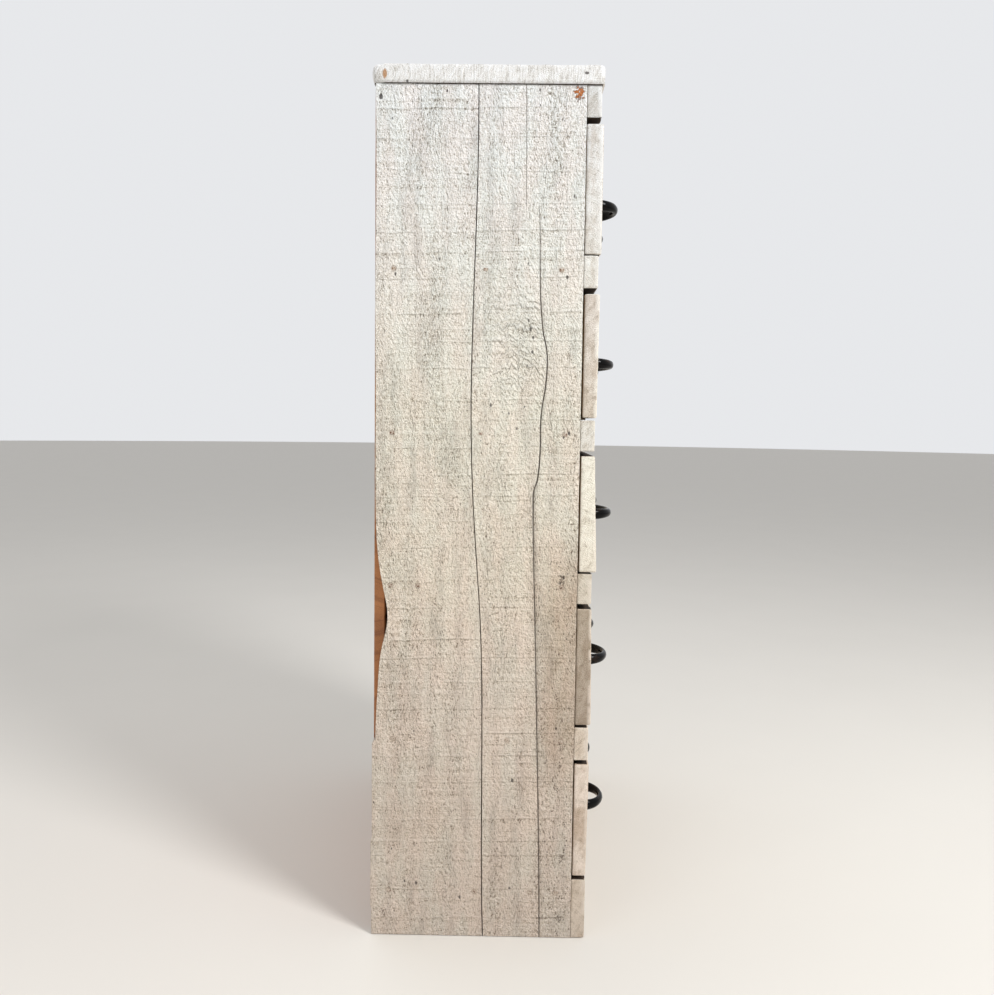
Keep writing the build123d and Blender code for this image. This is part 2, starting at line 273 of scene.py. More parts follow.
def worn_paint(name, grain, pith, seed, tint=WHITE, saw=1.0, wear=0.5, heart=None, deepness=1.0, details=None):
    """Thin chalky paint on sawn wood, rubbed away, with the grain and the saw marks showing through.

    pith is (across, deep) of the log's middle and heart is (across, along) of its heart on the face, both in
    millimetres. saw, wear and deepness say how strong the saw marks, the rubbing and the relief are, and
    details(finish, along, across, colour, height) adds the marks of one board.
    """
    f = Finish(name)
    mm = f.place()
    along, across, deep = (mm[axis] for axis in grain)
    # the grain leans a little along the board, and is coarser in some bands than in others
    lean = (f.noise(along / 95 + seed, across / 70, deep / 70, 3.0) - 0.5) * 50
    patch = f.noise(along / 130, across / 46 + seed, deep / 40, 3.0)
    coarse = f.noise(along / 260 + seed, across / 18, deep / 18)
    fibre = f.noise(along / 6.5, (across + lean) / 2.0 + seed, deep / 2.0, 2.0, 0.6)
    grit = f.noise(along / 2.2, across / 2.0, deep / 2.0 + seed, 2.0, 0.6)
    curl = f.noise(along / 5.0, across / 5.0 + seed, deep / 5.0, 2.0)
    away = from_pith(across, deep, pith, lean * 1.6)
    ring = f.noise(away / 3.2, along / 240, seed, 2.0, 0.6)
    # saw marks run square across the board, a little out of true
    cut = along + across * 0.02 + f.noise(along / 300, across / 60, seed) * 7
    strength = f.step(f.noise(along / 30, across / 75 + seed, 0.0), 0.28, 0.66)
    groove = f.strokes(cut + seed, 40.0, 2.4) * strength
    ridge = f.strokes(cut + seed - 2.6, 40.0, 2.4) * strength
    ripple = f.noise(cut / 3.6, across / 160, seed, 2.0, 0.6)
    rippled = 0.3 + f.step(f.noise(along / 90, across / 60, seed + 5.0), 0.36, 0.6) * 0.7
    band = f.noise(cut / 8, across / 700, seed + 1.0, 3.0, 0.6)
    pits = f.dip(f.specks(along / 11, across / 8 + seed, deep / 8), 0.05, 0.12)
    pits = pits * f.step(f.noise(along / 60, across / 30, seed + 9.0), 0.46, 0.62)
    rough = 0.6 + f.step(coarse, 0.36, 0.64) * 0.8
    arches = 0.0
    if heart:
        arches, arching = sawn_arches(f, along, across, heart, seed)
        rough = rough * (1 - arching * 0.4)

    # level is how fully the paint covers, from 0 to 1; the saw marks add painted shade and painted highlight to
    # it
    level = 0.72 + (fibre - 0.5) * rough * 1.5 + (grit - 0.5) * 1.6 + (patch - 0.5) * 0.4
    # soft bands, dark grooves with pale ridges beside them and ripples: the saw relief's shade and highlight,
    # painted
    level = level + (band - 0.5) * rippled * (0.95 * saw)
    level = level + (ring - 0.5) * 0.2 + (ridge - groove) * (0.12 * saw)
    level = level + (ripple - 0.5) * rippled * (0.4 * saw) + arches * 0.8
    colour = painted(f, mm[2], level, tint)
    # some stretches are pinker and some greener
    warmth = f.step(f.noise(along / 75, across / 26 + seed, deep / 26, 2.0), 0.32, 0.68)
    colour = f.mix(0.8, colour, f.mix(warmth, tone(250, 253, 252), tone(255, 250, 248)), "MULTIPLY")
    bald = f.noise(along / 34, across / 14, deep / 14 + seed, 3.0) + (fibre - 0.5) * 0.5
    worn = f.step(bald, 0.93 - 0.4 * wear, 1.1 - 0.4 * wear)
    colour = f.mix(worn * 0.3, colour, tone(182, 154, 126))
    colour = f.mix(pits * 0.7, colour, tone(96, 80, 66))

    height = (fibre - 0.5) * rough * 5.0 + (grit - 0.5) * 4.4 + (curl - 0.5) * 5.0 + (ring - 0.5) * 1.6
    height = height + (ridge - groove) * 0.9 + (ripple - 0.5) * rippled * (3.4 * saw) + arches * 13.0
    height = (height - pits * 0.8) * deepness
    if details:
        colour, height = details(f, along, across, colour, height)
    return f.done(Base_Color=colour, Roughness=0.6 + (patch - 0.5) * 0.2, Normal=f.relief(height))


def painted_end(name, across_axis, up_axis, pith, seed, spacing=3.0, tint=WHITE, contrast=1.0, details=None):
    """Paint on end grain: the growth rings show as pale and dark lines, some strong and some faint."""
    f = Finish(name)
    mm = f.place()
    across, up = mm[across_axis], mm[up_axis]
    away = from_pith(across, up, pith, f.noise(across / 30, up / 30, seed) * 5)
    ring = f.noise(away / spacing, up / 90, seed, 3.0, 0.75)
    grit = f.noise(across / 1.7, up / 1.7, seed, 3.0, 0.65)
    patch = f.noise(across / 13, up / 13, seed + 3.0, 3.0, 0.6)
    smear = f.noise((across + up * 0.5) / 5, (up - across * 0.5) / 24, seed + 6.0, 3.0)
    level = 0.64 + (grit - 0.5) * 1.1 + (ring - 0.5) * contrast
    level = level + (patch - 0.5) * 0.9 + (smear - 0.5) * 0.6
    colour = painted(f, mm[2], level, tint)
    height = (ring - 0.5) * 2.4 * contrast + (grit - 0.5) * 3.0 + (smear - 0.5) * 2.0
    if details:
        colour, height = details(f, across, up, colour, height)
    return f.done(Base_Color=colour, Roughness=0.62, Normal=f.relief(height))


def rubbed_end(front, stained):
    """Marks for the end of a rail or a front: a pale front edge, and brown stains over a share of the rest."""
    def details(f, across, up, colour, height):
        stain = f.step(f.noise(across / 15, up / 32, front, 3.0, 0.6), 0.4, 0.66) * stained
        colour = f.mix(stain, colour, f.mix(1.0, colour, tone(206, 193, 179), "MULTIPLY"))
        edge = f.dip(across, front + 3.4, front + 8.0) * f.step(f.noise(up / 22, front, 4.0, 2.0), 0.34, 0.52)
        return f.mix(edge * 0.62, colour, painted(f, up, 0.9, WHITE)), height + edge * 0.3
    return details


def dirty_edge():
    """The narrow edges that face a gap: unpainted, and coloured nearly black as painted shade."""
    f = Finish("dirty_edge")
    x, y, z = f.place()
    blotch = f.noise(x / 30, y / 5, z / 5, 3.0)
    colour = f.ramp(blotch, [(0.3, tone(30, 23, 17)), (0.75, tone(78, 60, 44))])
    return f.done(Base_Color=colour, Roughness=0.8)


def bare_wood(name, grain, pale, dark, seed, pith, spacing=5.0, knots=0.0, shade_before=None):
    """Unpainted softwood: its growth rings run out in long arches, because the log wasn't quite straight.

    The last argument gives the Y in millimetres of a front edge that is darkened as painted shade.
    """
    f = Finish(name)
    mm = f.place()
    along, across, deep = (mm[axis] for axis in grain)
    drift = f.noise(along / 260 + seed, across / 70, deep / 70, 2.0)
    fibre = f.noise(along / 34, across / 1.1 + seed, deep / 1.1, 3.0, 0.6)
    patch = f.noise(along / 180, across / 50 + seed, deep / 50, 3.0)
    away = from_pith(across, deep + along * 0.09, pith, drift * 14)
    ring = f.noise(away / spacing, seed, 0.5, 2.0, 0.6)
    late = f.step(ring, 0.5, 0.66)
    cut = f.strokes(along + across * 0.03, 6.0, 1.2)
    cut = cut * f.step(f.noise(along / 90, across / 60, seed), 0.45, 0.6)
    knot = f.specks(along / 210 + seed, across / 120, 0.0)
    core = f.dip(knot, 0.045, 0.075) * knots
    halo = f.dip(knot, 0.06, 0.17) * knots
    level = 0.64 - late * 0.26 + (fibre - 0.5) * 0.8 + (patch - 0.5) * 0.8
    level = level - cut * 0.1 - halo * 0.2
    colour = f.ramp(level, [(0.05, dark), (0.95, pale)])
    colour = f.mix(core * 0.8, colour, tone(70, 40, 22))
    # Wood in front of that edge, seen through the gaps between the fronts, is darkened as painted shade.
    if shade_before is not None:
        shaded = f.dip(mm[1], shade_before, shade_before + 9.0)
        colour = f.mix(shaded * 0.85, colour, tone(46, 37, 29))
    height = (fibre - 0.5) * 0.5 + late * 0.12 - cut * 0.15
    return f.done(Base_Color=colour, Roughness=0.62 + (fibre - 0.5) * 0.3, Normal=f.relief(height))


def black_iron():
    """Smooth black-painted iron, rubbed brown where hands reach it."""
    f = Finish("black_iron", Specular_IOR_Level=0.1)
    x, y, z = f.place()
    rub = f.noise(x / 14, y / 14, z / 9, 3.0)
    grain = f.noise(x / 1.5, y / 1.5, z / 1.5, 2.0)
    rubbed = f.step(rub, 0.52, 0.7)
    colour = f.mix(rubbed * 0.5, tone(9, 8, 8), tone(42, 30, 22))
    roughness = 0.12 + rubbed * 0.22 + (grain - 0.5) * 0.06
    height = (grain - 0.5) * 0.05 + (rub - 0.5) * 0.3
    return f.done(Base_Color=colour, Roughness=roughness, Normal=f.relief(height))


def nail_iron(name, paint, rust):
    """A nail's head: painted over and rusting through, or plain rusty iron."""
    f = Finish(name)
    x, y, z = f.place()
    blotch = f.noise(x / 2.2, y / 2.2, z / 2.2, 3.0)
    rusty = f.step(blotch, 0.62 - 0.3 * rust, 0.74 - 0.3 * rust)
    colour = f.mix(rusty, paint, tone(94, 58, 34))
    return f.done(Base_Color=colour, Roughness=0.7, Normal=f.relief(blotch * 0.5))


# ---------------------------------------------------------------------------------------------- boards
def ruler(length, cell, arris, extra=()):
    """The rows of vertices along one side of a board: close ones in each arris, even ones between."""
    near = [arris * n / ARRIS_ROWS for n in range(ARRIS_ROWS)]
    count = max(1, round((length - 2 * arris) / cell))
    middle = [arris + (length - 2 * arris) * n / count for n in range(count + 1)]
    middle = [place for place in middle if all(abs(place - line) > 0.7 * cell for line in extra)]
    return sorted([*near, *middle, *extra, *[length - place for place in near]])


def boxed_grid(rulers):
    """A closed box whose vertices lie on the given rows along x, y and z."""
    mesh = bmesh.new()
    bmesh.ops.create_cube(mesh, size=1.0, matrix=Matrix.Translation((0.5, 0.5, 0.5)))
    for axis, rows in enumerate(rulers):
        edges = [e for e in mesh.edges if abs(e.verts[0].co[axis] - e.verts[1].co[axis]) > 0.5]
        bmesh.ops.subdivide_edges(mesh, edges=edges, cuts=len(rows) - 2, use_grid_fill=True)
    for vertex in mesh.verts:
        vertex.co = [rows[round(share * (len(rows) - 1))] for share, rows in zip(vertex.co, rulers)]
    return mesh


def wobble(point, seed, size):
    """Smooth noise from -1 to 1 whose lumps are as large as size, in metres."""
    return noise.noise(Vector(point) / size + Vector((seed, seed * 1.7, -seed)))


class Sawing:
    """How rough a board is: its arrises, the dips of its faces and its chips.

    The top board alone gives round_behind, a depth past which its end is round, and sharp_below, a height
    under which its arrises stay sharp. Both are measured from the board's own corner.
    """

    def __init__(self, arris, seed, grain, chips=1.0, sharp_below=0.0, round_behind=None):
        self.arris, self.seed, self.grain = arris, seed, grain
        self.chips, self.sharp_below, self.round_behind = chips, sharp_below, round_behind

    def radius(self, place):
        """The arris is rubbed down unevenly, and chipped here and there."""
        worn = 0.55 + 0.4 * wobble(place, self.seed, 34 * MM) + 0.15 * wobble(place, self.seed, 7 * MM)
        chip = max(0.0, wobble(place, self.seed + 8.0, 19 * MM) - 0.42) * 2.4 * self.chips
        share = min(1.0, max(LEAST_ARRIS, worn + chip))
        if self.round_behind is None:
            return self.arris * share
        if place[1] > self.round_behind:
            return self.arris * min(1.0, share + (place[1] - self.round_behind) / ROUNDING_RUN)
        return self.arris * min(share, SHARP_ARRIS if place[2] < self.sharp_below else FRONT_ARRIS)

    def depth(self, place):
        """How far the face lies below the true one at a place."""
        along = place[self.grain[0]]
        dip = FACE_DIPS * (0.5 + 0.5 * wobble(place, self.seed, 70 * MM))
        ridge = noise.noise(Vector((along / (11 * MM), self.seed, place[self.grain[1]] / (120 * MM))))
        fine = GRAIN_DIPS * wobble(place, self.seed + 3.0, 5 * MM)
        return max(0.0, dip + SAW_RIDGES * (0.5 + 0.5 * ridge) + fine)


def roughened(mesh, size, sawing, flat_side=None):
    """Rounds the box's edges and lowers its faces; flat_side is (axis, end) of a face that stays true."""
    half = Vector(size) / 2
    for vertex in mesh.verts:
        place = vertex.co.copy()
        radius = sawing.radius(place)
        core = Vector([min(max(p, radius), 2 * h - radius) for p, h in zip(place, half)])
        out = (place - core).normalized()
        moved = core + out * (radius - sawing.depth(place))
        if flat_side is not None:
            axis, end = flat_side
            if abs(place[axis] - end) < 1e-6:
                moved[axis] = end
        vertex.co = moved


def finish_mesh(mesh, name, materials, side_of=None):
    """Turns a mesh into a piece at the origin. side_of(normal) gives the number of each face's material."""
    for face in mesh.faces:
        face.smooth = True
        face.material_index = side_of(face.normal) if side_of else 0
    data = bpy.data.meshes.new(name)
    mesh.to_mesh(data)
    mesh.free()
    for material in materials:
        data.materials.append(material)
    piece = bpy.data.objects.new(name, data)
    bpy.context.scene.collection.objects.link(piece)
    return piece


def fasten(piece, body, slot, *nodes):
    """Rides on its body and stands for its CAD nodes. slot is not used."""
    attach(piece, body)
    if nodes:
        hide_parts(*nodes)
    return piece


def merge_flat(mesh, axis, sign):
    """The many faces of a hidden flat side become one."""
    flat = [face for face in mesh.faces if face.normal[axis] * sign > FLAT_FROM]
    bmesh.ops.dissolve_faces(mesh, faces=flat, use_verts=False)


def board_sides(grain, back, shaded):
    """Material 0 on the faces, 1 on the ends, 2 on the bare side and 3 on the edges that face a gap, which take
    the painted shade.

    back is the bare side and the last argument lists the edges in painted shade, each as (axis, sign).
    """
    def side_of(normal):
        if back and normal[back[0]] * back[1] > BARE_FROM:
            return 2
        if any(normal[axis] * sign > SHADED_FROM for axis, sign in shaded):
            return 3
        return 1 if abs(normal[grain[0]]) > END_FROM else 0
    return side_of


def sawn_board(name, low, high, cell, sawing, materials, back=None, bend=None, extra=((), (), ()), shaded=()):
    """A rough board between two corners.

    back is (axis, sign) of its bare flat side, bend moves each point, and extra holds more rows for each axis.
    """
    size = [b - a for a, b in zip(low, high)]
    rulers = [
        ruler(length, cell, min(sawing.arris, 0.45 * length), lines) for length, lines in zip(size, extra)
    ]
    mesh = boxed_grid(rulers)
    flat = None
    if back:
        axis, sign = back
        flat = (axis, size[axis] if sign > 0 else 0.0)
    roughened(mesh, size, sawing, flat)
    mesh.normal_update()
    if back:
        merge_flat(mesh, *back)
    for vertex in mesh.verts:
        vertex.co = Vector(low) + vertex.co
        if bend:
            vertex.co = bend(vertex.co)
    mesh.normal_update()
    return finish_mesh(mesh, name, materials, board_sides(sawing.grain, back, shaded))


def loose_parts(node):
    """The lowest and highest corner of each solid in a CAD node."""
    mesh = bmesh.new()
    mesh.from_mesh(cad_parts[node].data)
    bmesh.ops.remove_doubles(mesh, verts=mesh.verts, dist=1e-6)
    left, boxes = set(mesh.verts), []
    while left:
        group, fresh = set(), [left.pop()]
        while fresh:
            vertex = fresh.pop()
            group.add(vertex)
            near = {edge.other_vert(vertex) for edge in vertex.link_edges} & left
            left -= near
            fresh += near
        corners = [[v.co[axis] for v in group] for axis in range(3)]
        boxes.append((Vector(map(min, corners)), Vector(map(max, corners))))
    mesh.free()
    return sorted(boxes, key=lambda box: tuple(box[0]))


# ---------------------------------------------------------------------------------------------- finishes
PINE_PALE, PINE_DARK = tone(206, 177, 138), tone(146, 111, 76)
AMBER_PALE, AMBER_DARK = tone(196, 132, 80), tone(112, 62, 32)

PARTITION_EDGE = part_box("partitions")[0].y / MM
# Wood before the partitions' front edge shows through the gaps between the fronts and is darkened as painted
# shade.
bare_standing = bare_wood(
    "bare_wood_standing", STANDING, PINE_PALE, PINE_DARK, 1.0, (30.0, 60.0), shade_before=PARTITION_EDGE,
)
bare_lying = bare_wood("bare_wood_lying", LYING, PINE_PALE, PINE_DARK, 2.0, (-90.0, -220.0))
bare_deep = bare_wood("bare_wood_going_back", GOING_BACK, PINE_PALE, PINE_DARK, 3.0, (-60.0, 34.0))
iron = black_iron()
painted_nail = nail_iron("painted_nail_head", tone(182, 168, 152), 0.4)
# The edges that face a gap get a colour of painted shade, near black.
gap_shade = dirty_edge()


# ---------------------------------------------------------------------------------------------- sides
# An edge is looked up once for each step of height, and this far inside the board's ends.
EDGE_STEP = 0.5 * MM
EDGE_INSET = 0.2 * MM


class Outline:
    """The front and rear edge of a CAD side board at each height."""

    def __init__(self, node):
        self.low, self.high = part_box(node)
        mesh = bmesh.new()
        mesh.from_mesh(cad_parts[node].data)
        self.tree = BVHTree.FromBMesh(mesh)
        mesh.free()
        self.middle = (self.low.x + self.high.x) / 2
        self.beside_nails = self.low.x + 0.2 * (self.high.x - self.low.x)
        self.known = {}

    def edge(self, height, way):
        """Y of the edge met by looking along way (1 from the front, -1 from the rear)."""
        key = (round(height / EDGE_STEP), way)
        if key not in self.known:
            inside = min(max(height, self.low.z + EDGE_INSET), self.high.z - EDGE_INSET)
            start = Vector((self.beside_nails, self.low.y - 1 if way > 0 else self.high.y + 1, inside))
            spot = self.tree.ray_cast(start, Vector((0, way, 0)))[0]
            self.known[key] = spot.y
        return self.known[key]

    def bend(self, point):
        """A point of the box round the board, moved between the board's own edges."""
        share = (point.y - self.low.y) / (self.high.y - self.low.y)
        front, rear = self.edge(point.z, 1), self.edge(point.z, -1)
        return Vector((point.x, front + share * (rear - front), point.z))


# The near side's long crack, as (height, Y) in millimetres, open up to CRACK_TOP, and a fainter one.
CRACK = [
    (0, -77), (139, -74), (296, -69), (450, -64), (586, -59), (661, -57), (685, -57), (708, -63), (750, -66),
    (794, -66), (853, -73), (884, -74), (925, -67), (968, -63), (1075, -60), (1112, -58), (1300, -58),
]
CRACK_TOP = 1112.0
FAINT_CRACK = [(0, -44), (1103, -40), (1300, -37)]
# Half the crack's width, its depth, and the run over which it closes below its top.
CRACK_HALF = 0.7
CRACK_DEPTH = 1.3
CRACK_FADE = 300.0
# Y of the joint between the near side's two boards, which parts the marks on them.
BOARD_JOINT = 14.0
# The near side's nails start within NEAR_FACE of the part's own side, and are longer along X than NAIL_LENGTH.
NEAR_FACE = cad_box[0].x + 10 * MM
NAIL_LENGTH = 30 * MM
NEAR_NAILS = [
    (low + high) / 2 / MM for low, high in loose_parts("nails")
    if low.x < NEAR_FACE and high.x - low.x > NAIL_LENGTH
]
# Marks on the near side, as (Y, height, radius) in millimetres: the nails' own places, dark pits and knots.
NAIL_MARK = 3.6
NAIL_RINGS = [(spot.y, spot.z, NAIL_MARK) for spot in NEAR_NAILS]
DARK_PITS = [
    (171, 1253, 2.6), (76, 1262, 1.2), (-57, 1264, 1.3), (-58, 1243, 0.9), (154, 1223, 0.9), (-109, 1116, 1.3),
    (85, 1025, 1.2), (149, 1003, 1.5), (-101, 1001, 1.7), (-44, 1020, 1.0), (18, 1007, 1.2), (-46, 938, 1.3),
    (-49, 926, 1.8), (-53, 914, 1.6), (-52, 893, 1.6), (-45, 873, 1.1), (8, 815, 1.4), (-19, 803, 1.0),
    (-42, 813, 1.1), (-31, 781, 1.3), (22, 764, 1.2), (-108, 775, 1.8), (-100, 769, 1.3), (118, 322, 0.8),
    (-32, 248, 1.8), (131, 86, 1.2), (113, 83, 1.6), (46, 62, 1.6), (-30, 78, 1.3), (151, 137, 0.9),
    (179, 210, 1.0), (-104, 560, 1.6), (-99, 552, 1.3), (-97, 330, 1.4),
]
ORANGE_KNOTS = [(-113, 1261, 4.6)]
DARK_KNOTS = [
    (165, 37, 3.2), (-102, 557, 4.4), (-106, 300, 3.0), (-98, 236, 2.4), (-110, 128, 3.0), (-108, 30, 3.4),
]


def course_of(points, height):
    """Y of a crack at a height, by straight runs between its points."""
    for (low, start), (high, end) in zip(points, points[1:]):
        if height <= high:
            return start + (end - start) * (height - low) / (high - low)
    return points[-1][1]


def nearest(f, across, along, marks, squeeze=1.0):
    """How far a spot lies outside the nearest of the marks, which may be drawn out along the grain."""
    here = f.point(across, along * squeeze, 0.0)
    gap = None
    for y, height, radius in marks:
        spots = {0: here, 1: (y, height * squeeze, 0.0)}
        outside = f.node("ShaderNodeVectorMath", {"operation": "DISTANCE"}, spots, 1) - radius
        gap = outside if gap is None else f.maths("MINIMUM", gap, outside)
    return gap


def crack_line(f, along, across, points, width):
    """A thin line that follows a crack's points, whose Y lies between low and high."""
    low, high = -150.0, 50.0
    shares = [(height / HEIGHT, (y - low) / (high - low)) for height, y in points]
    line = f.course(along / HEIGHT, shares) * (high - low) + low
    return f.dip(f.size(across - line), 0.3 * width, width)


def cracks(f, along, across, colour, height):
    """The dark in the long crack, strongest where it is open, and the fainter crack beside its top."""
    tapering = f.dip(along, 960.0, CRACK_TOP) * (0.5 + f.step(along, 560.0, 720.0) * 0.5)
    open_crack = crack_line(f, along, across, CRACK, 1.3) * (0.45 + tapering * 0.5)
    open_crack = open_crack * f.dip(along, 1090.0, CRACK_TOP)
    faint = crack_line(f, along, across, FAINT_CRACK, 0.9) * f.step(along, 1095.0, 1106.0)
    colour = f.mix(open_crack, colour, tone(68, 52, 38))
    colour = f.mix(faint * 0.7, colour, tone(112, 98, 86))
    return colour, height - open_crack * 1.5 - faint * 0.8


def browned_edge(f, along, across, colour, height):
    """The front edge is browner below the middle of the side, and full of torn flecks."""
    edge = f.step(0 - across, 46.0, 98.0)
    brown = edge * f.dip(f.size(along - 420), 90.0, 230.0)
    brown = brown * (0.4 + f.noise(along / 40, across / 18, 23.0, 2.0))
    colour = f.mix(brown, colour, f.mix(1.0, colour, tone(226, 218, 210), "MULTIPLY"))
    flecks = f.dip(f.specks(along / 6, across / 4, 0.0), 0.16, 0.34) * edge * f.dip(along, 540.0, 660.0)
    flecks = flecks * f.step(f.noise(along / 24, across / 10, 21.0, 2.0), 0.5, 0.6)
    return f.mix(flecks * 0.8, colour, tone(88, 68, 52)), height - flecks * 0.8


def dark_grain(f, along, across, colour, height):
    """A band of coarse dark grain down the rear board."""
    band = f.dip(f.size(across - 90), 3.0, 20.0) * f.step(along, 350.0, 800.0)
    strokes = f.dip(f.noise(along / 4.5, across / 1.9, 2.0, 3.0, 0.6), 0.36, 0.48)
    return f.mix(band * strokes * 0.5, colour, tone(140, 126, 110)), height


def near_side_marks(rear):
    """The nails' marks, pits, knots and cracks of one board of the near side."""
    def chosen(marks):
        return [mark for mark in marks if (mark[0] > BOARD_JOINT) == rear]

    def details(f, along, across, colour, height):
        stray = (f.noise(along / 4, across / 4, 3.0) - 0.5) * 4
        ring = nearest(f, across + stray, along, chosen(NAIL_RINGS))
        rim = f.dip(f.size(ring), 0.2, 1.3)
        colour = f.mix(rim * 0.5, colour, tone(150, 124, 104))
        colour = f.mix(f.dip(ring, -1.4, 0.4) * 0.35, colour, tone(186, 164, 142))
        pit = f.dip(nearest(f, across + stray * 0.5, along + stray, chosen(DARK_PITS), 0.6), -0.6, 0.6)
        colour = f.mix(pit * 0.85, colour, tone(52, 42, 34))
        height = height - rim * 0.4 - pit * 1.5
        # knots have ragged outlines
        aside = across + (f.noise(along / 4, across / 4, 11.0, 2.0, 0.6) - 0.5) * 26
        above = along + (f.noise(along / 4, across / 4, 31.0, 2.0, 0.6) - 0.5) * 26
        if chosen(ORANGE_KNOTS):
            knot = nearest(f, aside, above, chosen(ORANGE_KNOTS), 0.6)
            colour = f.mix(f.dip(knot, -1.0, 1.5), colour, tone(190, 112, 52))
            colour = f.mix(f.dip(f.size(knot - 0.8), 0.3, 1.2) * 0.75, colour, tone(70, 50, 36))
            height = height - f.dip(knot, -2.0, 1.0) * 0.5
        torn = f.dip(nearest(f, aside, above, chosen(DARK_KNOTS), 0.6), -1.5, 1.5)
        torn = torn * f.step(f.noise(along / 3, across / 3, 17.0, 2.0), 0.42, 0.52)
        colour = f.mix(torn * 0.75, colour, tone(92, 72, 56))
        height = height - torn * 0.8
        if rear:
            return dark_grain(f, along, across, colour, height)
        colour, height = cracks(f, along, across + stray * 0.25, colour, height)
        return browned_edge(f, along, across, colour, height)
    return details


def cracked(outline):
    """Bends a board's rows of vertices along the crack and opens it."""
    front, rear = outline.low.y, outline.high.y
    start = course_of(CRACK, 0) * MM
    half = CRACK_HALF * MM

    def bend(point):
        line = course_of(CRACK, point.z / MM) * MM
        here, there = outline.edge(point.z, 1), outline.edge(point.z, -1)
        off = point.y - start
        if off < -half:
            y = here + (point.y - front) / (start - half - front) * (line - half - here)
        elif off > half:
            y = line + half + (off - half) / (rear - start - half) * (there - line - half)
        else:
            y = line + off
        moved = Vector((point.x, y, point.z))
        if point.x < outline.middle and abs(off) < 0.99 * half and point.z < CRACK_TOP * MM:
            fade = min(1.0, (CRACK_TOP * MM - point.z) / (CRACK_FADE * MM))
            moved.x += CRACK_DEPTH * MM * fade * (1 - abs(off) / half)
        return moved
    return bend, [start - front + half * side for side in (-1, 0, 1)]


def side_board(node, seed, cell, pith, heart=None):
    """One of the sides' four boards, bare and flat inside. The near side's two carry the photo's marks."""
    outline = Outline(node)
    near = outline.middle < 0
    bend, lines, details = outline.bend, (), None
    if near:
        details = near_side_marks("rear" in node)
        if "front" in node:
            bend, lines = cracked(outline)
    paint = worn_paint(f"paint_on_{node}", STANDING, pith, seed, heart=heart, details=details)
    piece = sawn_board(
        node.replace("board", "plank"), outline.low, outline.high, cell, Sawing(1.5 * MM, seed, STANDING),
        [paint, side_end, bare_standing], (0, 1 if near else -1), bend, ((), lines, ()),
    )
    fasten(piece, CARCASS, "painted_wood", node)


side_end = painted_end("side_end_grain", 1, 0, (40.0, -300.0), 2.0)
side_board("left_side_front_board", 2.0, FINE, (-52.0, -330.0), (-30.0, 905.0))
side_board("left_side_rear_board", 3.0, FINE, (120.0, -318.0))
side_board("right_side_front_board", 4.0, 1.4 * FINE, (-40.0, 330.0), (-62.0, 400.0))
side_board("right_side_rear_board", 5.0, 1.4 * FINE, (110.0, 318.0), (96.0, 900.0))


# ---------------------------------------------------------------------------------------------- rails and top
# From the top rail down. A tint above 255 makes up for the stains on the end.
RAIL_TINTS = [
    (250, 253, 255), (257, 259, 261), (258, 262, 269), (244, 246, 246), (270, 272, 272), (256, 255, 252),
]
LYING_RELIEF = 0.35

for number, node in enumerate(RAILS):
    low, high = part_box(node)
    seed = 10.0 + number
    middle = (low.z + high.z) / 2 / MM
    paint = worn_paint(
        f"paint_on_{node}", LYING, (middle - 30.0, -90.0), seed, RAIL_TINTS[number],
        wear=0.7, deepness=LYING_RELIEF,
    )
    pith = (-137.0 - 70.0 * (-1) ** number, middle - 80.0)
    worn = rubbed_end(low.y / MM, 0.5)
    end = painted_end(f"end_of_{node}", 1, 2, pith, seed, 1.8, RAIL_TINTS[number], details=worn)
    # A rail's edges that face a gap take the painted shade.
    gap_edges = []
    if node != RAILS[0]:
        gap_edges.append((2, 1))
    if node != RAILS[-1]:
        gap_edges.append((2, -1))
    piece = sawn_board(
        f"{node}_batten", low, high, FINE, Sawing(3.6 * MM, seed, LYING, 1.4), [paint, end, bare_lying, gap_shade],
        (1, 1), shaded=gap_edges,
    )
    fasten(piece, CARCASS, "painted_wood", node)


def top_end_marks(f, across, up, colour, height):
    """The near end of the top board: a nail hole at the front, and a resin streak and a spot at the rear."""
    stray = (f.noise(across / 3, up / 3, 5.0) - 0.5) * 4
    hole = f.dip(nearest(f, across * 0.6, up + stray * 0.2, [(-123 * 0.6, 1287, 2.0)]), -0.8, 0.5)
    streak = f.dip(nearest(f, across * 2.2 + stray, up + stray, [(165 * 2.2, 1284, 7.5)]), -2.5, 1.0)
    spot = f.dip(nearest(f, across, up, [(133, 1274, 1.8)]), -0.6, 0.5)
    colour = f.mix(streak * 0.85, colour, tone(178, 122, 58))
    colour = f.mix(f.most(hole, spot) * 0.85, colour, tone(58, 50, 44))
    return colour, height - hole * 1.5 - spot


def shaded_top_underside():
    """Dark brown in the joint with the carcass, which is painted shade, and a greyer paint where the top
    overhangs in front.
    """
    f = Finish("underside_of_top_board")
    y = f.place()[1]
    front = f.dip(y, TOP_SEAM - 1.0, TOP_SEAM)
    return f.done(Base_Color=f.mix(front, tone(58, 46, 36), tone(196, 188, 178)), Roughness=0.8)


TOP_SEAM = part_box("top_rail")[0].y / MM
low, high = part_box("top_board")
top_paint = worn_paint("paint_on_top_board", FLAT, (150.0, 1180.0), 20.0, wear=0.6, deepness=LYING_RELIEF)
top_end = painted_end("end_of_top_board", 1, 2, (165.0, 1285.0), 21.0, 2.6, details=top_end_marks)
top_sawing = Sawing(11 * MM, 20.0, FLAT, sharp_below=12 * MM, round_behind=high.y - low.y - 18 * MM)
piece = sawn_board("top_plank", low, high, FINE, top_sawing, [top_paint, top_end, shaded_top_underside()], (2, -1))
fasten(piece, CARCASS, "painted_wood", "top_board")


# ---------------------------------------------------------------------------------------------- back and inside
def joined(pieces, name):
    """Several pieces made one."""
    with bpy.context.temp_override(active_object=pieces[0], selected_editable_objects=pieces):
        bpy.ops.object.join()
    pieces[0].name = name
    pieces[0].data.name = name
    return pieces[0]


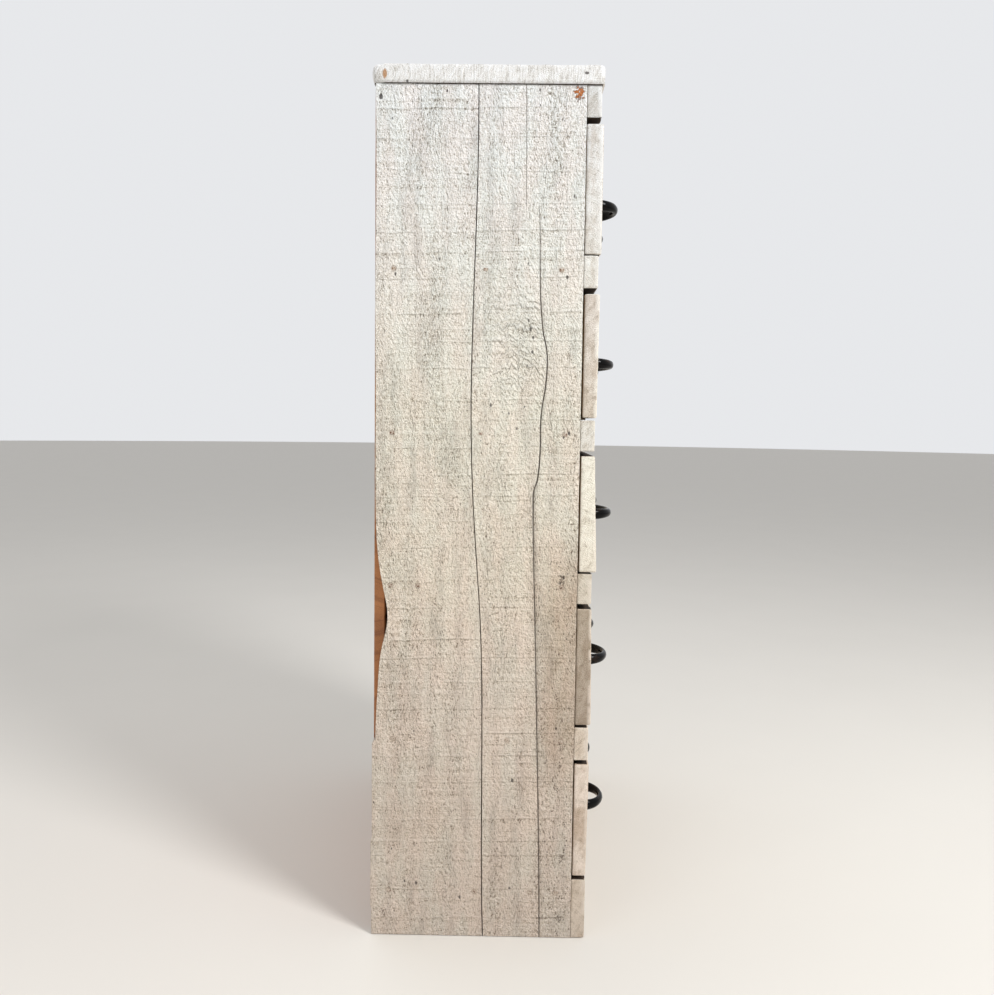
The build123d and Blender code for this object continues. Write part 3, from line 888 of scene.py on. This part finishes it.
# Each back board laps a little over the one below it, so that no light falls through the joint.
BACK_LAP = 1.3 * MM
BACK_BOARDS = sorted(loose_parts("back_boards"), key=lambda box: box[0].z)
planks = []
for number, (low, high) in enumerate(BACK_BOARDS):
    middle = (low.z + high.z) / 2 / MM
    pith = (middle + 34.0 * (-1) ** number, 120.0 - 6 * number)
    seed = 4.0 + 3 * number
    amber = bare_wood(f"old_bare_wood_{number}", LYING, AMBER_PALE, AMBER_DARK, seed, pith, 6.0, 1.0)
    foot = BACK_BOARDS[number - 1][1].z - BACK_LAP if number else low.z
    planks.append(sawn_board(
        f"back_plank_{number}", Vector((low.x, low.y, foot)), high, COARSE,
        Sawing(1.6 * MM, 30.0 + number, LYING), [amber, amber, amber], (1, -1),
    ))
fasten(joined(planks, "back_planks"), CARCASS, "back_wood", "back_boards")

# A nail head's radius below and above, its depth, and how deep its middle is sunk in the back and in the top.
NAIL_FOOT, NAIL_HEAD, NAIL_DEPTH = 3.6 * MM, 3.0 * MM, 1.2 * MM
BACK_SINK, TOP_SINK = 0.5 * MM, 0.9 * MM
# The outer nails of a back board are this far from its ends. Their heights are shares of the board's, and a
# low board has one nail at each upright.
NAIL_INSET = 11 * MM
NAIL_PAIR, NAIL_ALONE = (0.2, 0.8), (0.5,)
LOW_BOARD = 80 * MM
# Y of the top's three rows of nails.
TOP_NAIL_ROWS = (-104 * MM, 30 * MM, 136 * MM)


def nail_stray(number):
    """How far a nail is off its line: up to a few millimetres, and the same in every run."""
    return wobble((number * 0.37, 0.2, 0.1), 61.0, 1.0) * 3 * MM


def nail_heads(name, places, turn, material):
    """Flat round heads of wire nails, sunk into a face."""
    mesh = bmesh.new()
    for place in places:
        bmesh.ops.create_cone(
            mesh, cap_ends=True, segments=10, radius1=NAIL_FOOT, radius2=NAIL_HEAD, depth=NAIL_DEPTH,
            matrix=Matrix.Translation(place) @ turn,
        )
    fasten(finish_mesh(mesh, name, [material]), CARCASS, "nail_iron")


UPRIGHTS = [(low.x + high.x) / 2 for low, high in [
    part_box("left_side_front_board"), *loose_parts("partitions"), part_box("right_side_front_board"),
]]
back_nails = []
for low, high in BACK_BOARDS:
    tall = high.z - low.z
    for x in (low.x + NAIL_INSET, *UPRIGHTS[1:-1], high.x - NAIL_INSET):
        for share in NAIL_PAIR if tall > LOW_BOARD else NAIL_ALONE:
            stray = nail_stray(len(back_nails))
            back_nails.append((x + stray * 0.5, high.y - BACK_SINK, low.z + share * tall + stray))
top_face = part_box("top_board")[1].z
top_nails = []
for x in UPRIGHTS:
    for y in TOP_NAIL_ROWS:
        stray = nail_stray(20 + len(top_nails))
        top_nails.append((x + stray * 0.4, y + stray, top_face - TOP_SINK))
rusty_nail = nail_iron("rusty_nail_head", tone(74, 52, 40), 0.9)
nail_heads("back_nail_heads", back_nails, Matrix.Rotation(-math.pi / 2, 4, "X"), rusty_nail)
nail_heads("top_nail_heads", top_nails, Matrix.Identity(4), painted_nail)


def dress(node, material):
    """A CAD node keeps its shape and takes a finish."""
    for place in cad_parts[node].material_slots:
        place.material = material


dress("partitions", bare_standing)
dress("drawer_bearers", bare_deep)
dress("nails", painted_nail)


# ---------------------------------------------------------------------------------------------- drawers
# The ends of the fronts, from row 1 down: their tint, and how stained they are.
ROW_TINTS = [(251, 252, 254), (239, 234, 233), (265, 270, 272), (202, 197, 190), (272, 272, 274)]
END_STAINS = [0.5, 0.4, 0.1, 0.5, 0.8]
# The drawers' faces share a few finishes, because their boards wore differently.
FACE_TINTS = [(253, 252, 250), (247, 240, 234), (255, 255, 255), (236, 231, 225), (250, 247, 242)]
FACES = [
    worn_paint(
        f"paint_on_fronts_{n}", LYING, (330.0 + 190.0 * n, -60.0 - 8 * n), 44.0 + n, tint,
        saw=0.8, wear=0.65, deepness=0.3,
    )
    for n, tint in enumerate(FACE_TINTS)
]
# A front's slope is measured this far from its foot and its top, and this far in from its end.
FACE_INSET = 8 * MM
FACE_SPOT = 30 * MM
# A bow's thickness at its feet and in its middle, the middle's height against the feet's, and how deep the feet
# are sunk in the face.
PULL_FOOT = 12 * MM
PULL_BAR = 9 * MM
PULL_WAIST = 0.74
PULL_SINK = 0.4 * MM
# It starts as half a ring of radius 1: the radius of its bar, its turns and the corners of its bar.
PULL_RING = 0.2
PULL_TURNS = 28
PULL_RIM = 12


class Front:
    """The face of a CAD drawer front, which may be thicker at its foot than at its top."""

    def __init__(self, node):
        self.low, self.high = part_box(node)
        mesh = bmesh.new()
        mesh.from_mesh(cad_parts[node].data)
        self.tree = BVHTree.FromBMesh(mesh)
        mesh.free()
        self.heights = (self.low.z + FACE_INSET, self.high.z - FACE_INSET)
        self.faces = [self.face(height) for height in self.heights]

    def face(self, height):
        """Y of the face at a height, met by looking from the front."""
        start = Vector((self.low.x + FACE_SPOT, self.low.y - 1, height))
        return self.tree.ray_cast(start, Vector((0, 1, 0)))[0].y

    def face_at(self, height):
        """Y of the face at a height, along the straight slope."""
        share = (height - self.heights[0]) / (self.heights[1] - self.heights[0])
        return self.faces[0] + share * (self.faces[1] - self.faces[0])

    def bend(self, point):
        """A point of the box round the front, moved onto the sloping face."""
        share = (self.high.y - point.y) / (self.high.y - self.low.y)
        return Vector((point.x, self.high.y + share * (self.face_at(point.z) - self.high.y), point.z))


def bow_pull(name, low, high, seat):
    """A bow of round iron bar: half a ring, spun and then drawn out to its length and reach."""
    mesh = bmesh.new()
    upright = Matrix.Translation((1, 0, 0)) @ Matrix.Rotation(math.pi / 2, 4, "X")
    bmesh.ops.create_circle(mesh, segments=PULL_RIM, radius=PULL_RING, matrix=upright)
    bmesh.ops.spin(
        mesh, geom=[*mesh.verts, *mesh.edges], cent=(0, 0, 0), axis=(0, 0, 1), angle=-math.pi, steps=PULL_TURNS,
        use_merge=False, use_duplicate=False,
    )
    half, reach = (high.x - low.x) / 2, seat - low.y
    middle = Vector(((low.x + high.x) / 2, 0, (low.z + high.z) / 2))
    tall = (high.z - low.z) / 2
    for vertex in mesh.verts:
        turn = math.atan2(-vertex.co.y, vertex.co.x)
        outward = (math.hypot(vertex.co.x, vertex.co.y) - 1) / PULL_RING
        upward = vertex.co.z / PULL_RING
        foot = math.cos(turn) ** 2
        thick = (PULL_BAR + (PULL_FOOT - PULL_BAR) * foot) / 2
        height = tall * (PULL_WAIST + (1 - PULL_WAIST) * foot)
        vertex.co = middle + Vector((
            (half - thick + thick * outward) * math.cos(turn),
            seat + PULL_SINK - (reach + PULL_SINK - thick + thick * outward) * math.sin(turn),
            height * upward,
        ))
    bmesh.ops.recalc_face_normals(mesh, faces=mesh.faces)
    return finish_mesh(mesh, name, [iron])


for name in DRAWERS:
    row, column = (int(part) for part in name.replace("row_", "").replace("column_", "").split("_"))
    body = f"drawer_{name}"
    front = Front(f"{FRONT_NAME}{name}")
    seed = 40.0 + 3 * row + column
    middle = (front.low.z + front.high.z) / 2 / MM
    face_paint = FACES[(row * 2 + column) % len(FACES)]
    if column == 1:
        pith = (-60.0, middle + 150.0 * (-1) ** row)
        marks = rubbed_end(front.low.y / MM, END_STAINS[row - 1])
        row_end = painted_end(f"end_of_row_{row}", 1, 2, pith, seed, 3.4, ROW_TINTS[row - 1], 0.6, marks)
    # A front's top and foot face gaps and take the painted shade.
    piece = sawn_board(
        f"front_panel_{name}", front.low, front.high, FINE, Sawing(5.5 * MM, seed, LYING, 1.4),
        [face_paint, row_end, bare_lying, gap_shade], (1, 1), front.bend, shaded=[(2, 1), (2, -1)],
    )
    fasten(piece, body, "painted_wood", f"{FRONT_NAME}{name}")
    dress(f"drawer_box_{name}", bare_deep)
    low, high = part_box(f"pull_{name}")
    seat = front.face_at((low.z + high.z) / 2)
    fasten(bow_pull(f"bow_{name}", low, high, seat), body, "pull_iron", f"pull_{name}")


# ---------------------------------------------------------------------------------------------- stage
def lamp(name, place, aim, width, watts):
    """A round soft white lamp that shines at a point."""
    data = bpy.data.lights.new(name, "AREA")
    data.shape, data.size, data.energy = "DISK", width, watts
    made = bpy.data.objects.new(name, data)
    bpy.context.scene.collection.objects.link(made)
    made.location = place
    made.rotation_mode = "QUATERNION"
    made.rotation_quaternion = (Vector(aim) - Vector(place)).to_track_quat("-Z", "Y")


def floor():
    """A wide pale floor, a hair below the cabinet."""
    f = Finish("pale_floor")
    x, y = f.place()[:2]
    colour = f.mix(f.noise(x / 300, y / 300, 0.0) * 0.5, tone(226, 222, 215), tone(220, 216, 209))
    material = f.done(Base_Color=colour, Roughness=0.7)
    mesh = bmesh.new()
    bmesh.ops.create_circle(mesh, segments=96, radius=30.0, cap_ends=True)
    piece = finish_mesh(mesh, "floor", [material])
    piece.location.z = -0.0005


def surroundings(light, seen):
    """Even light all round, and a pale backdrop for the camera and for mirror reflections."""
    world = bpy.data.worlds.new("studio")
    bpy.context.scene.world = world
    world.use_nodes = True
    tree = world.node_tree
    shown = tree.nodes["Background"]
    shown.inputs["Color"].default_value = light
    backdrop = tree.nodes.new("ShaderNodeBackground")
    backdrop.inputs["Color"].default_value = seen
    path = tree.nodes.new("ShaderNodeLightPath")
    share = path.outputs["Is Camera Ray"]
    for ray in ("Is Glossy Ray", "Is Transmission Ray"):
        either = tree.nodes.new("ShaderNodeMath")
        either.operation = "MAXIMUM"
        tree.links.new(share, either.inputs[0])
        tree.links.new(path.outputs[ray], either.inputs[1])
        share = either.outputs[0]
    mixed = tree.nodes.new("ShaderNodeMixShader")
    tree.links.new(share, mixed.inputs[0])
    tree.links.new(shown.outputs[0], mixed.inputs[1])
    tree.links.new(backdrop.outputs[0], mixed.inputs[2])
    tree.links.new(mixed.outputs[0], tree.nodes["World Output"].inputs["Surface"])


FOCAL_PIXELS = 931.6
PICTURE_WIDTH = 994
CAMERA_PLACE = (-1.7214, -0.0204, 0.7924)
CAMERA_PITCH, CAMERA_YAW, CAMERA_ROLL = (math.radians(angle) for angle in (4.716, 0.712, -0.779))


def camera():
    """Stands where the photo was taken from."""
    data = bpy.data.cameras.new("camera")
    data.sensor_width = 36.0
    data.lens = data.sensor_width * FOCAL_PIXELS / PICTURE_WIDTH
    data.clip_start = 0.01
    made = bpy.data.objects.new("camera", data)
    bpy.context.scene.collection.objects.link(made)
    made.location = CAMERA_PLACE
    level = math.cos(CAMERA_PITCH)
    sight = Vector((level * math.cos(CAMERA_YAW), level * math.sin(CAMERA_YAW), -math.sin(CAMERA_PITCH)))
    made.rotation_mode = "QUATERNION"
    turned = sight.to_track_quat("-Z", "Y").to_matrix() @ Matrix.Rotation(-CAMERA_ROLL, 3, "Z")
    made.rotation_quaternion = turned.to_quaternion()
    bpy.context.scene.camera = made


floor()
surroundings((0.55, 0.555, 0.565, 1), (0.80, 0.81, 0.83, 1))
lamp("window", (-2.4, -2.4, 2.9), (0, 0, 0.75), 1.2, 128)
lamp("fill", (-3.0, 2.2, 1.6), (0, 0, 0.7), 2.4, 21)
lamp("overhead", (0.6, 0.8, 3.4), (0, 0, 0.6), 2.2, 20)
camera()

bpy.context.scene.view_settings.view_transform = "Standard"
